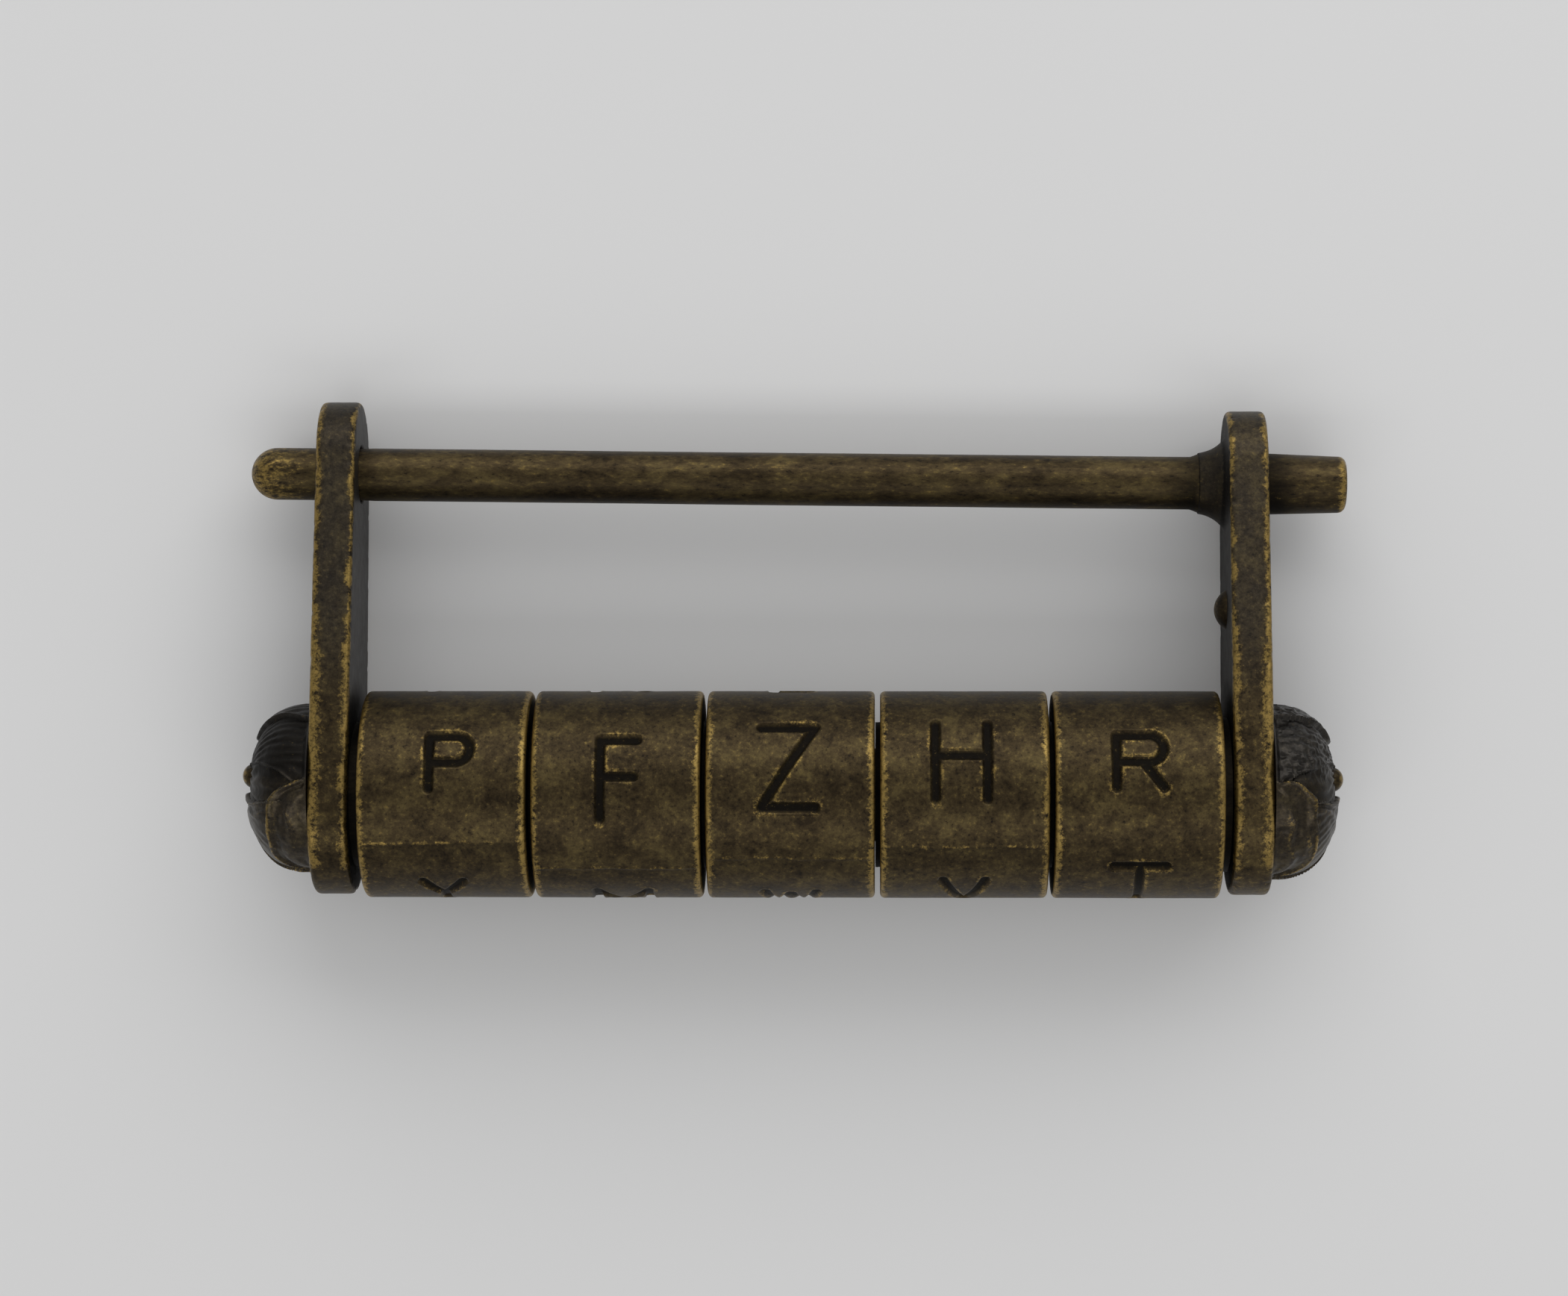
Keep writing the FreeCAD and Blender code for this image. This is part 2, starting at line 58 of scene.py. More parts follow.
# Driving dimensions shared with the CAD model
RING_COUNT = 5
RING_RADIUS = 8.9
RING_WEB = 5.0
HOLLOW_RADIUS = 6.3
RING_BORE = 4.06
GATE_WIDTH = 2.6
GATE_RADIUS = 6.0
PLATE_THICKNESS = 3.45
PLATE_FOOT = (-1.4, 7.2)
PLATE_HEAD_RADIUS = 5.3
LEFT_HEAD_Y = 28.9
RIGHT_HEAD_Y = 28.0
BAR_Y_AT_LEFT = 27.9
BAR_Y_AT_RIGHT = 27.0
BAR_RADIUS = 2.3
BAR_NOSE_RADIUS = 2.27
BAR_SEAT_RADIUS = 2.5
FLARE_LENGTH = 2.4
BAR_HEAD_RADIUS = 2.65
BAR_HEAD_END_RADIUS = 2.45
BAR_END_ROUND = 0.65
BAR_TAPER_LENGTH = 0.6
BAR_NOSE_INSIDE = 0.4
KNOB_PIN_RADIUS = 1.2
KNOB_PIN_DEPTH = 3.5
DOME_POWER = 2.4
BUD_RADIUS = 1.1
BUD_OFFSET = 1.05
BUD_PROUD = 0.3
RIVET_Y = 16.0
RIVET_HEAD_RADIUS = 1.7
RIVET_HEAD_HEIGHT = 1.0
RIVET_SHANK_RADIUS = 0.9

# Wear: edges softer and letters shallower than in the CAD model, and bands of bare metal along the plates
WORN_EDGE_ROUND = 0.4
WORN_LETTER_DEPTH = 0.32
OUTER_WEAR_WIDTH = 1.15
INNER_WEAR_WIDTH = 0.85

# How fine the plates' surfaces are rebuilt
PLATE_VOXEL = 0.17

# Places along X and the lie of the lock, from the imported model
AXIS_AT = Vector(JOINTS["ring_1_turn"]["pos_m"]) / MM
TILT = math.asin((RING_RADIUS - PLATE_HEAD_RADIUS) / LEFT_HEAD_Y)
LEFT_OUTER_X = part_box("left_plate")[0].x / MM
LEFT_INNER_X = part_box("left_plate")[1].x / MM
RIGHT_OUTER_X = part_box("right_plate")[1].x / MM
RIGHT_INNER_X = RIGHT_OUTER_X - PLATE_THICKNESS
LIE = Matrix.Translation(AXIS_AT) @ Matrix.Rotation(-TILT, 4, "X")


def to_frame(points):
    """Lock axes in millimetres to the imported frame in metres."""
    turn = np.array(LIE.to_3x3())
    return (points @ turn.T + np.array(LIE.translation)) * MM


def smoothstep(low, high, value):
    """0 at low and 1 at high, which may be the smaller of the two, with a smooth step between."""
    t = np.clip((value - low) / (high - low), 0, 1)
    return t * t * (3 - 2 * t)


def band(value, middle, width):
    """1 where the value is at the middle, falling to nearly 0 at twice the width on either side."""
    return np.exp(-(((value - middle) / width) ** 2))


LATTICE = 32
LATTICE_VALUES = np.random.default_rng(7).random((LATTICE, LATTICE, LATTICE)) * 2 - 1


def lumps(points, size, seed):
    """Smooth value noise from -1 to 1 with lumps of about the given size."""
    where = points / size + np.array([seed * 7.31, seed * 3.77, seed * 5.13])
    cell = np.floor(where).astype(int)
    part = where - cell
    part = part * part * (3 - 2 * part)
    total = np.zeros(len(points))
    for dx in (0, 1):
        for dy in (0, 1):
            for dz in (0, 1):
                corner = (cell + np.array([dx, dy, dz])) % LATTICE
                share = np.prod(np.abs(1 - np.array([dx, dy, dz]) - part), axis=1)
                total += share * LATTICE_VALUES[corner[:, 0], corner[:, 1], corner[:, 2]]
    return total


def rough_cast(points, seed):
    """Casting unevenness from -1 to 1: broad waves with smaller pocks in them."""
    waves = 0.55 * lumps(points, 3.2, seed)
    swells = 0.3 * lumps(points, 1.1, seed + 1)
    pocks = 0.15 * lumps(points, 0.45, seed + 2)
    return waves + swells + pocks


def new_piece(name, points, faces, attributes, sharp_angle=50):
    """A mesh object from lock-axis points, with its per-vertex attributes and sharp edges."""
    mesh = bpy.data.meshes.new(name)
    mesh.from_pydata(to_frame(points).tolist(), [], faces)
    for key, values in attributes.items():
        layer = mesh.attributes.new(key, "FLOAT", "POINT")
        layer.data.foreach_set("value", values.astype(np.float32))
    bm = bmesh.new()
    bm.from_mesh(mesh)
    bmesh.ops.remove_doubles(bm, verts=bm.verts, dist=2e-7)
    bmesh.ops.dissolve_degenerate(bm, edges=bm.edges, dist=1e-8)
    bmesh.ops.recalc_face_normals(bm, faces=bm.faces)
    bm.to_mesh(mesh)
    bm.free()
    mesh.shade_smooth()
    mesh.set_sharp_from_angle(angle=math.radians(sharp_angle))
    piece = bpy.data.objects.new(name, mesh)
    bpy.context.scene.collection.objects.link(piece)
    return piece


def grid_faces(rows, columns, closed):
    """Quads between neighbouring rows of a grid that wraps round its columns, and its rows if closed."""
    faces = []
    for i in range(rows if closed else rows - 1):
        here = i * columns
        there = ((i + 1) % rows) * columns
        for j in range(columns):
            k = (j + 1) % columns
            faces.append((here + j, here + k, there + k, there + j))
    return faces


def arc_steps(centre, radius, start, end, steps):
    """Points (x, r) along an arc in a profile, with angles in degrees from +x towards +r."""
    angles = np.radians(np.linspace(start, end, steps + 1))
    return [(centre[0] + radius * math.cos(a), centre[1] + radius * math.sin(a)) for a in angles]


def turned(profile, columns):
    """Angle from +Z towards +Y, x and radius of each point of a profile turned about the X axis."""
    theta = np.tile(np.arange(columns) * 2 * math.pi / columns, len(profile))
    x = np.repeat([p[0] for p in profile], columns)
    radius = np.repeat([p[1] for p in profile], columns)
    return theta, x, radius


def about_axis(x, radius, theta):
    """Points at the given x, distance from the X axis and angle round it."""
    return np.column_stack([x, radius * np.sin(theta), radius * np.cos(theta)])


def run_steps(start, end, steps):
    """Points (x, r) along a straight stretch of a profile, without its first point."""
    reach = np.subtract(end, start)
    return [tuple(np.add(start, np.multiply(reach, i / steps))) for i in range(1, steps + 1)]


# Letters: strokes in a cell one unit wide and high. Two points are a straight stroke, three an arc.
TALLEST = 7.8
TALL = 7.5
SHORT = 5.4
LETTER_STROKE = 0.72
BOWL = (((-0.5, 0.5), (0.1, 0.5)), ((0.1, 0.5), (0.5, 0.24), (0.1, -0.02)), ((0.1, -0.02), (-0.5, -0.02)))
LEFT_STEM = ((-0.5, -0.5), (-0.5, 0.5))
RIGHT_STEM = ((0.5, -0.5), (0.5, 0.5))
TOP_BAR = ((-0.5, 0.5), (0.5, 0.5))
FOOT_BAR = ((-0.5, -0.5), (0.5, -0.5))
LETTER_STROKES = {
    "A": (((-0.5, -0.5), (0, 0.5)), ((0, 0.5), (0.5, -0.5)), ((-0.3, -0.1), (0.3, -0.1))),
    "E": (LEFT_STEM, TOP_BAR, ((-0.5, 0), (0.35, 0)), FOOT_BAR),
    "F": (LEFT_STEM, TOP_BAR, ((-0.5, 0.02), (0.42, 0.02))),
    "H": (LEFT_STEM, RIGHT_STEM, ((-0.5, 0.05), (0.5, 0.05))),
    "I": (((0, -0.5), (0, 0.5)),),
    "K": (LEFT_STEM, ((-0.5, -0.05), (0.5, 0.5)), ((-0.2, 0.12), (0.5, -0.5))),
    "L": (LEFT_STEM, FOOT_BAR),
    "M": (LEFT_STEM, RIGHT_STEM, ((-0.5, 0.5), (0, -0.2)), ((0, -0.2), (0.5, 0.5))),
    "N": (LEFT_STEM, RIGHT_STEM, ((-0.5, 0.5), (0.5, -0.5))),
    "P": (LEFT_STEM,) + BOWL,
    "R": (LEFT_STEM,) + BOWL + (((0.05, -0.02), (0.5, -0.5)),),
    "T": (TOP_BAR, ((0, -0.5), (0, 0.5))),
    "V": (((-0.5, 0.5), (0, -0.5)), ((0, -0.5), (0.5, 0.5))),
    "W": (
        ((-0.5, 0.5), (-0.25, -0.5)),
        ((-0.25, -0.5), (0, 0.4)),
        ((0, 0.4), (0.25, -0.5)),
        ((0.25, -0.5), (0.5, 0.5)),
    ),
    "X": (((-0.5, 0.5), (0.5, -0.5)), ((-0.5, -0.5), (0.5, 0.5))),
    "Y": (((-0.5, 0.5), (0, 0)), ((0, 0), (0.5, 0.5)), ((0, -0.5), (0, 0))),
    "Z": (TOP_BAR, ((0.5, 0.5), (-0.5, -0.5)), FOOT_BAR),
}
LETTER_WIDTHS = {"E": 3.8, "F": 3.8, "L": 3.8, "P": 4.15, "R": 4.7, "V": 4.3, "Y": 4.1, "Z": 5.25}
USUAL_LETTER_WIDTH = 5.1
# Letters of each ring: (character, angle of its middle from +Z towards +Y, height, shift along X)
RING_LETTERS = (
    (("P", 13.2, SHORT, 0.7), ("Y", -76.8, SHORT, -0.1), ("E", -166.8, TALL, 0), ("F", 103.2, TALL, 0)),
    (("F", 3.7, TALL, 0.25), ("M", -88.0, SHORT, 0.4), ("L", -176.3, SHORT, 0), ("K", 93.7, SHORT, 0)),
    (("Z", 10.9, TALLEST, -0.15), ("W", -89.0, SHORT, 0), ("A", -170.0, SHORT, 0), ("L", 100.0, TALL, 0)),
    (("H", 14.8, TALL, -0.28), ("V", -75.2, SHORT, 0), ("X", -165.2, TALL, 0), ("E", 107.0, SHORT, 0)),
    (("R", 14.0, SHORT, 0), ("T", -70.6, TALL, 0.1), ("I", -166.0, TALL, 0), ("N", 107.0, SHORT, 0)),
)
# The casting's parting line on each ring, as an angle in the same sense, and how much it stands out
PARTING_LINES = ((-33.5, 1.0), (-50.2, 0.75), (-42.9, 0.8), (-35.4, 0.9), (-38.0, 0.12))


def distance_to_stroke(points, stroke, width, rise):
    """Distance in the letter's plane from each point to a stroke's middle line."""
    if len(stroke) == 2:
        path = [np.array(p) * (width, rise) for p in stroke]
    else:
        path = three_point_arc([np.array(p) * (width, rise) for p in stroke], 14)
    nearest = np.full(len(points), np.inf)
    for a, b in zip(path[:-1], path[1:]):
        along = b - a
        share = np.clip(((points - a) @ along) / (along @ along), 0, 1)
        nearest = np.minimum(nearest, np.linalg.norm(points - a - share[:, None] * along, axis=1))
    return nearest


def three_point_arc(points, steps):
    """Points along the circle through three points."""
    (ax, ay), (bx, by), (cx, cy) = points
    d = 2 * (ax * (by - cy) + bx * (cy - ay) + cx * (ay - by))
    a2, b2, c2 = ax * ax + ay * ay, bx * bx + by * by, cx * cx + cy * cy
    centre_x = a2 * (by - cy) + b2 * (cy - ay) + c2 * (ay - by)
    centre_y = a2 * (cx - bx) + b2 * (ax - cx) + c2 * (bx - ax)
    centre = np.array([centre_x, centre_y]) / d
    angles = [math.atan2(*(p - centre)[::-1]) for p in points]
    turn = np.unwrap(angles)
    radius = np.linalg.norm(points[0] - centre)
    steps_round = np.linspace(turn[0], turn[2], steps + 1)
    return [centre + radius * np.array([math.cos(a), math.sin(a)]) for a in steps_round]


def letter_distance(x, theta, index):
    """Signed distance from the nearest letter's edge: negative inside a stroke."""
    nearest = np.full(len(x), 9.0)
    for character, angle, height, shift in RING_LETTERS[index]:
        turn = (theta - math.radians(angle) + math.pi) % (2 * math.pi) - math.pi
        width = LETTER_WIDTHS.get(character, USUAL_LETTER_WIDTH) - LETTER_STROKE
        rise = height - LETTER_STROKE
        near = np.abs(turn) < math.radians(60)
        flat = np.column_stack([x[near] - shift, RING_RADIUS * np.sin(turn[near])])
        for stroke in LETTER_STROKES[character]:
            from_stroke = distance_to_stroke(flat, stroke, width, rise) - LETTER_STROKE / 2
            nearest[near] = np.minimum(nearest[near], from_stroke)
    return nearest


def make_ring(index):
    """A letter ring: engraved and slightly uneven outside, with its web, gate and hollow inside."""
    columns, skin_rows = 480, 132
    low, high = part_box("letter_ring_%d" % (index + 1))
    start, end = low.x / MM, high.x / MM
    middle = (start + end) / 2
    half = (end - start) / 2
    e = WORN_EDGE_ROUND
    profile = arc_steps((-half + e, RING_RADIUS - e), e, 180, 90, 6)
    skin_from = len(profile)
    profile += run_steps(profile[-1], (half - e, RING_RADIUS), skin_rows)
    profile += arc_steps((half - e, RING_RADIUS - e), e, 90, 0, 6)[1:]
    inner_from = len(profile)
    profile += run_steps(profile[-1], (half, RING_BORE), 6)
    profile += run_steps(profile[-1], (half - RING_WEB, RING_BORE), 3)
    profile += run_steps(profile[-1], (half - RING_WEB, HOLLOW_RADIUS), 3)
    profile += run_steps(profile[-1], (-half, HOLLOW_RADIUS), 3)
    profile += run_steps(profile[-1], (-half, RING_RADIUS - e), 2)[:-1]
    rows = len(profile)
    theta, x, radius = turned(profile, columns)
    row = np.repeat(np.arange(rows), columns)

    # The gate opens the web and its bore towards +Y
    off_gate = np.abs((theta - math.pi / 2 + math.pi) % (2 * math.pi) - math.pi)
    to_gate_floor = GATE_RADIUS / np.maximum(np.cos(off_gate), 0.2)
    to_gate_side = GATE_WIDTH / 2 / np.maximum(np.sin(off_gate), 1e-6)
    gate_edge = np.minimum(to_gate_floor, to_gate_side)
    in_web = (row >= inner_from) & (x > half - RING_WEB - 0.01)
    in_gate = in_web & (radius < GATE_RADIUS) & (off_gate < math.radians(40))
    radius = np.where(in_gate, np.maximum(radius, gate_edge), radius)

    around = about_axis(x, RING_RADIUS, theta)
    gap = letter_distance(x, theta, index)
    skin = (row >= skin_from - 6) & (row < inner_from)
    from_end = half - np.abs(x)
    cut = (1 - smoothstep(-0.13, 0.15, gap)) * WORN_LETTER_DEPTH
    uneven = rough_cast(around, 11 + 5 * index)
    lip = 0.02 * band(gap, 0.22, 0.16)
    line_angle, line_strength = PARTING_LINES[index]
    along_only = around * (1, 0, 0)
    wander = 0.012 * lumps(along_only, 2.6, index) + 0.006 * lumps(along_only, 0.8, index)
    line_at = math.radians(line_angle) + wander
    from_line = ((theta - line_at + math.pi) % (2 * math.pi) - math.pi) * RING_RADIUS
    ridge_noise = 0.5 + 0.5 * lumps(around, 0.5, 40 + index)
    ridge = band(from_line, 0, 0.11) * line_strength * (0.02 + 0.06 * ridge_noise ** 1.5)
    below = smoothstep(0.1, -0.12, from_line) * smoothstep(-2.4, -0.3, from_line) * 0.05 * line_strength
    dents = np.maximum(0, lumps(around, 0.9, 60 + index) - 0.45) * 0.09 * smoothstep(0.9, 0.2, from_end)
    change = np.minimum(-cut - 0.035 + 0.02 * uneven + lip + ridge - below - dents, 0)
    radius = np.where(skin, radius + change, radius)

    speckle = lumps(around, 0.45, 70 + index)
    rim = smoothstep(0.95, 0.12, from_end + 0.12 * speckle + 0.16 * lumps(around, 1.8, 75 + index))
    border = band(gap, 0.2, 0.22) * np.clip(0.5 + 0.9 * lumps(around, 1.1, 80 + index), 0, 1)
    flecks = band(from_line, 0.08, 0.2) * line_strength * np.clip(0.45 + 1.6 * speckle, 0, 1)
    worn = np.where(skin, np.clip(rim + 0.8 * border + 0.9 * flecks, 0, 1), 0.1)
    # Black patina in the letters and a darker band below the parting line, plus painted shade where the
    # ring's edge turns into the gap beside the next ring; the side faces and inside are kept dark as
    # painted shade too.
    blackening_and_gap_shade = smoothstep(0.06, -0.12, gap) + 5 * below + 0.35 * smoothstep(0.06, 0, from_end)
    dark = np.where(skin, np.clip(blackening_and_gap_shade, 0, 1), 0.85)
    points = about_axis(x + middle, radius, theta)
    name = "ring_%d_engraved" % (index + 1)
    return new_piece(name, points, grid_faces(rows, columns, True), {"worn": worn, "dark": dark})


def bar_line(points):
    """Moves points made about the X axis on to the sloping line of the shackle bar."""
    slope = math.atan2(BAR_Y_AT_RIGHT - BAR_Y_AT_LEFT, RIGHT_INNER_X - LEFT_INNER_X + PLATE_THICKNESS)
    pivot = np.array([RIGHT_INNER_X + PLATE_THICKNESS / 2, 0, 0])
    turn = np.array(Matrix.Rotation(slope, 3, "Z"))
    return (points - pivot) @ turn.T + pivot + np.array([0, BAR_Y_AT_RIGHT, 0])


def make_bar():
    """The shackle bar: bullet nose, long plain shank and the thicker head beyond the plate."""
    columns = 96
    nose_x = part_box("shackle_bar")[0].x / MM
    # The slope would lift the end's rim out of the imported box, so the end is set back a little
    sunk = 0.03
    end_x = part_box("shackle_bar")[1].x / MM - sunk
    profile = arc_steps((nose_x + BAR_NOSE_RADIUS, 0), BAR_NOSE_RADIUS, 180, 90, 14)
    shank_x = LEFT_INNER_X + BAR_NOSE_INSIDE
    seat_x = RIGHT_INNER_X - FLARE_LENGTH
    profile += run_steps(profile[-1], (shank_x, BAR_NOSE_RADIUS), 28)
    profile += run_steps(profile[-1], (shank_x + BAR_TAPER_LENGTH, BAR_RADIUS), 2)
    profile += run_steps(profile[-1], (seat_x - BAR_TAPER_LENGTH, BAR_RADIUS), 240)
    profile += run_steps(profile[-1], (seat_x, BAR_SEAT_RADIUS), 2)
    profile += run_steps(profile[-1], (RIGHT_OUTER_X, BAR_SEAT_RADIUS), 8)
    shoulder = 0.12
    rim = BAR_END_ROUND
    profile += run_steps(profile[-1], (RIGHT_OUTER_X, BAR_HEAD_RADIUS - shoulder), 1)
    profile += arc_steps((RIGHT_OUTER_X + shoulder, BAR_HEAD_RADIUS - shoulder), shoulder, 180, 90, 2)[1:]
    profile += run_steps(profile[-1], (end_x - rim, BAR_HEAD_END_RADIUS), 22)
    profile += arc_steps((end_x - rim, BAR_HEAD_END_RADIUS - rim), rim, 90, 0, 8)[1:]
    profile += run_steps(profile[-1], (end_x, 0), 4)
    rows = len(profile)
    theta, x, radius = turned(profile, columns)
    straight = about_axis(x, radius, theta)
    outside = (x < RIGHT_INNER_X - 2.6) | (x > RIGHT_OUTER_X + 0.05)
    body = np.where(outside & (radius > 0.3), 1.0, 0.0)
    change = -0.02 + 0.02 * rough_cast(straight * (0.35, 1, 1), 31)
    radius = np.maximum(radius + np.minimum(change, 0) * body, 0)
    points = about_axis(x, radius, theta)
    tip = smoothstep(LEFT_OUTER_X + 0.5, nose_x + 1.2, x + 0.9 * lumps(straight, 1.1, 33))
    end_rim = band(x, end_x - 0.35, 0.4) * smoothstep(0.9, 1.6, radius)
    near_plate = smoothstep(RIGHT_INNER_X - 6, RIGHT_INNER_X - 2, x)
    shaded = near_plate * smoothstep(RIGHT_OUTER_X + 3.5, RIGHT_OUTER_X + 0.5, x)
    underside = smoothstep(0.2, -1.0, np.sin(theta)) * body
    worn = np.clip(0.75 * tip + 0.95 * end_rim, 0, 1)
    dark = np.clip(0.7 * shaded + 0.4 * underside, 0, 1)
    values = {"worn": worn, "dark": dark}
    return new_piece("shackle_bar_cast", bar_line(points), grid_faces(rows, columns, False), values)


def outline_distance(y, z, head_y):
    """Signed distance from a plate's outline, the hull of its foot and head circles: negative inside."""
    foot_y, foot_radius = PLATE_FOOT
    reach = head_y - foot_y
    lean = (foot_radius - PLATE_HEAD_RADIUS) / reach
    side = np.abs(z)
    upright = math.sqrt(1 - lean * lean)
    along = (y - foot_y) * upright - side * lean
    foot = np.hypot(y - foot_y, side) - foot_radius
    head = np.hypot(y - head_y, side) - PLATE_HEAD_RADIUS
    between = (y - foot_y) * lean + side * upright - foot_radius
    return np.where(along < 0, foot, np.where(along > reach * upright, head, between))


def remeshed(node, voxel):
    """Lock-axis points, normals and faces of a CAD node, rebuilt as an even mesh with softened edges."""
    source = NODES[node].data.copy()
    source.transform(Matrix.Scale(1 / MM, 4))
    source.transform(LIE.inverted())
    bm = bmesh.new()
    bm.from_mesh(source)
    bmesh.ops.remove_doubles(bm, verts=bm.verts, dist=1e-4)
    bm.to_mesh(source)
    bm.free()
    source.materials.clear()
    helper = bpy.data.objects.new("helper", source)
    bpy.context.scene.collection.objects.link(helper)
    remesh = helper.modifiers.new("remesh", "REMESH")
    remesh.mode = "VOXEL"
    remesh.voxel_size = voxel
    smooth = helper.modifiers.new("smooth", "SMOOTH")
    smooth.factor = 0.5
    smooth.iterations = 3
    evaluated = helper.evaluated_get(bpy.context.evaluated_depsgraph_get())
    result = bpy.data.meshes.new_from_object(evaluated)
    bpy.data.objects.remove(helper)
    points = np.empty(len(result.vertices) * 3)
    result.vertices.foreach_get("co", points)
    normals = np.empty(len(result.vertices) * 3)
    result.vertices.foreach_get("normal", normals)
    faces = [tuple(p.vertices) for p in result.polygons]
    return points.reshape(-1, 3), normals.reshape(-1, 3), faces


def make_plate(node, name, outer_x, inner_x, head_y, face_dark, seed):
    """An end plate: cast and rubbed, its corners worn bright along both edges, with painted shade on its
    faces round the axis and where the bar widens into it.
    """
    points, normals, faces = remeshed(node, PLATE_VOXEL)
    low_x, high_x = min(outer_x, inner_x), max(outer_x, inner_x)
    outline = outline_distance(points[:, 1], points[:, 2], head_y)
    to_face = np.minimum(np.abs(points[:, 0] - low_x), np.abs(points[:, 0] - high_x))
    corner = np.hypot(np.minimum(to_face, 9), outline)
    uneven = rough_cast(points, seed)
    nicks = np.maximum(0, lumps(points, 0.55, seed + 5) - 0.3) * 0.16 * smoothstep(0.9, 0.2, corner)
    free = smoothstep(0.0, 0.6, -outline + 0.6)
    moved = points + normals * (-0.015 + 0.018 * uneven - nicks)[:, None] * free[:, None]
    in_plate = (points[:, 0] > low_x - 0.01) & (points[:, 0] < high_x + 0.01)
    moved[:, 0] = np.where(in_plate, np.clip(moved[:, 0], low_x, high_x), moved[:, 0])
    ragged = 0.3 * lumps(points, 0.8, seed + 9) + 0.14 * lumps(points, 0.3, seed + 3)
    at_outer_edge = np.abs(points[:, 0] - outer_x) < np.abs(points[:, 0] - inner_x)
    near_rings = smoothstep(19, 5, points[:, 1])
    wide = np.where(at_outer_edge, OUTER_WEAR_WIDTH, INNER_WEAR_WIDTH) * (0.5 + 0.5 * near_rings)
    foot_end = smoothstep(-6.2, -7.2, points[:, 1]) * smoothstep(6.0, 4.5, points[:, 2])
    worn = smoothstep(1.5 * wide, 0.2 * wide, corner + ragged) * (1 - 0.7 * foot_end)
    face = (np.abs(normals[:, 0]) > 0.7).astype(float) * (outline < -0.5)
    around_axis = np.hypot(points[:, 1], points[:, 2])
    # Painted shade on the faces round the axis, where the rings and the knob stand against the plate, and
    # on the bar's widening in its corner against the plate.
    under = smoothstep(10.5, 8.0, around_axis) * face
    flare_shade = smoothstep(low_x, low_x - 0.4, points[:, 0])
    dark = np.clip(face_dark * face + 0.75 * under + 0.6 * flare_shade, 0, 1)
    greyed = smoothstep(5, 15, points[:, 1]) * 0.45
    values = {"worn": worn, "dark": dark, "cool": np.maximum(0.9 * face, greyed) * (1 - worn)}
    return new_piece(name, moved, faces, values, 180)


def make_rivet():
    """The rivet's domed head on the shackle plate's inner face, with its shank flush at the outer face."""
    columns = 64
    r, h = RIVET_HEAD_RADIUS, RIVET_HEAD_HEIGHT
    sphere = (r * r + h * h) / (2 * h)
    opening = math.degrees(math.asin(r / sphere))
    profile = arc_steps((RIGHT_INNER_X - h + sphere, 0), sphere, 180, 180 - opening, 16)
    profile += run_steps(profile[-1], (RIGHT_INNER_X, RIVET_SHANK_RADIUS), 2)
    profile += run_steps(profile[-1], (RIGHT_OUTER_X, RIVET_SHANK_RADIUS), 2)
    profile += run_steps(profile[-1], (RIGHT_OUTER_X, 0), 2)
    rows = len(profile)
    theta, x, radius = turned(profile, columns)
    points = about_axis(x, radius, theta)
    head = smoothstep(RIGHT_INNER_X, RIGHT_INNER_X - 0.3, x) * (radius > 0.05)
    points[:, 0] += head * 0.04 * np.maximum(0, lumps(points, 0.8, 21))
    worn = 0.35 * smoothstep(RIGHT_INNER_X - 0.5, RIGHT_INNER_X - 0.95, x)
    points[:, 1] += RIVET_Y
    values = {"worn": worn, "dark": np.full(len(x), 0.3)}
    return new_piece("plate_rivet_peened", points, grid_faces(rows, columns, False), values)


# Petals of a knob: middle angle from +Y towards +Z, half width, tip's reach from the bud,
# squareness, level in mm and how much it is folded
PETALS = (
    (22, 78, 0.05, 2.6, -0.42, 0.1),
    (160, 66, 0.15, 3.0, -0.14, 0.7),
    (272, 78, 0.10, 2.6, -0.38, 0.4),
    (-6, 52, 0.33, 2.2, 0.0, 0.05),
    (128, 45, 0.66, 5.0, 0.08, 1.0),
    (212, 42, 0.42, 3.0, 0.0, 0.6),
    (285, 42, 0.5, 3.0, 0.0, 0.5),
)
PETAL_THICKNESS = 0.42
PETAL_BED = -0.62


